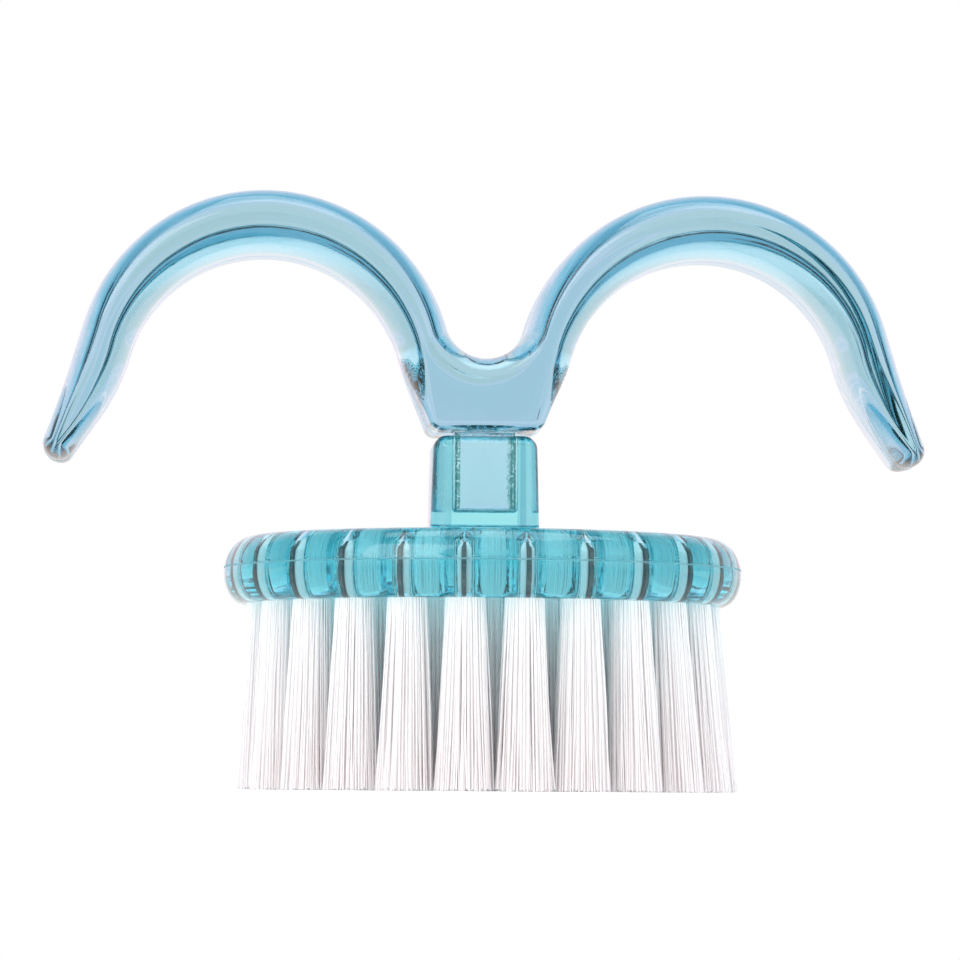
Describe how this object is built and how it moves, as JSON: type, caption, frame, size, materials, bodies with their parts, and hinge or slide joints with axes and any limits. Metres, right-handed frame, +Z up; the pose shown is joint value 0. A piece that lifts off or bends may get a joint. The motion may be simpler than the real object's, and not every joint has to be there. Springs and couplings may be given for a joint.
{
  "type": "nail dust brush",
  "caption": "Round brush for nail dust with clear aqua double-arch finger handle, pressed into the stem of a clear disc head set with white nylon tufts.",
  "frame": {"origin": "on the head's axis, in the plane of the bristle tips", "axes": "+Z up the head's axis from the tips to the handle, +X along the span of the two arches, +Y through the handle's depth, away from the front"},
  "size_m": [0.0848, 0.05, 0.0576],
  "materials": {
    "handle_plastic": "clear aqua, glossy",
    "head_plastic": "clear aqua, glossy",
    "bristle_nylon": "satin white nylon"
  },
  "bodies": {
    "root": {"handle": "handle_plastic", "head": "head_plastic", "tuft_ring1_01": "bristle_nylon", "tuft_ring1_02": "bristle_nylon", "tuft_ring1_03": "bristle_nylon", "tuft_ring1_04": "bristle_nylon", "tuft_ring1_05": "bristle_nylon", "tuft_ring1_06": "bristle_nylon", "tuft_ring1_07": "bristle_nylon", "tuft_ring1_08": "bristle_nylon", "tuft_ring1_09": "bristle_nylon", "tuft_ring1_10": "bristle_nylon", "tuft_ring1_11": "bristle_nylon", "tuft_ring1_12": "bristle_nylon", "tuft_ring1_13": "bristle_nylon", "tuft_ring1_14": "bristle_nylon", "tuft_ring1_15": "bristle_nylon", "tuft_ring1_16": "bristle_nylon", "tuft_ring1_17": "bristle_nylon", "tuft_ring1_18": "bristle_nylon", "tuft_ring1_19": "bristle_nylon", "tuft_ring1_20": "bristle_nylon", "tuft_ring1_21": "bristle_nylon", "tuft_ring1_22": "bristle_nylon", "tuft_ring1_23": "bristle_nylon", "tuft_ring1_24": "bristle_nylon", "tuft_ring2_01": "bristle_nylon", "tuft_ring2_02": "bristle_nylon", "tuft_ring2_03": "bristle_nylon", "tuft_ring2_04": "bristle_nylon", "tuft_ring2_05": "bristle_nylon", "tuft_ring2_06": "bristle_nylon", "tuft_ring2_07": "bristle_nylon", "tuft_ring2_08": "bristle_nylon", "tuft_ring2_09": "bristle_nylon", "tuft_ring2_10": "bristle_nylon", "tuft_ring2_11": "bristle_nylon", "tuft_ring2_12": "bristle_nylon", "tuft_ring2_13": "bristle_nylon", "tuft_ring2_14": "bristle_nylon", "tuft_ring2_15": "bristle_nylon", "tuft_ring2_16": "bristle_nylon", "tuft_ring2_17": "bristle_nylon", "tuft_ring2_18": "bristle_nylon", "tuft_ring3_01": "bristle_nylon", "tuft_ring3_02": "bristle_nylon", "tuft_ring3_03": "bristle_nylon", "tuft_ring3_04": "bristle_nylon", "tuft_ring3_05": "bristle_nylon", "tuft_ring3_06": "bristle_nylon", "tuft_ring3_07": "bristle_nylon", "tuft_ring3_08": "bristle_nylon", "tuft_ring3_09": "bristle_nylon", "tuft_ring3_10": "bristle_nylon", "tuft_ring3_11": "bristle_nylon", "tuft_ring4_01": "bristle_nylon", "tuft_ring4_02": "bristle_nylon", "tuft_ring4_03": "bristle_nylon", "tuft_ring4_04": "bristle_nylon", "tuft_ring4_05": "bristle_nylon"}
  },
  "joints": []
}
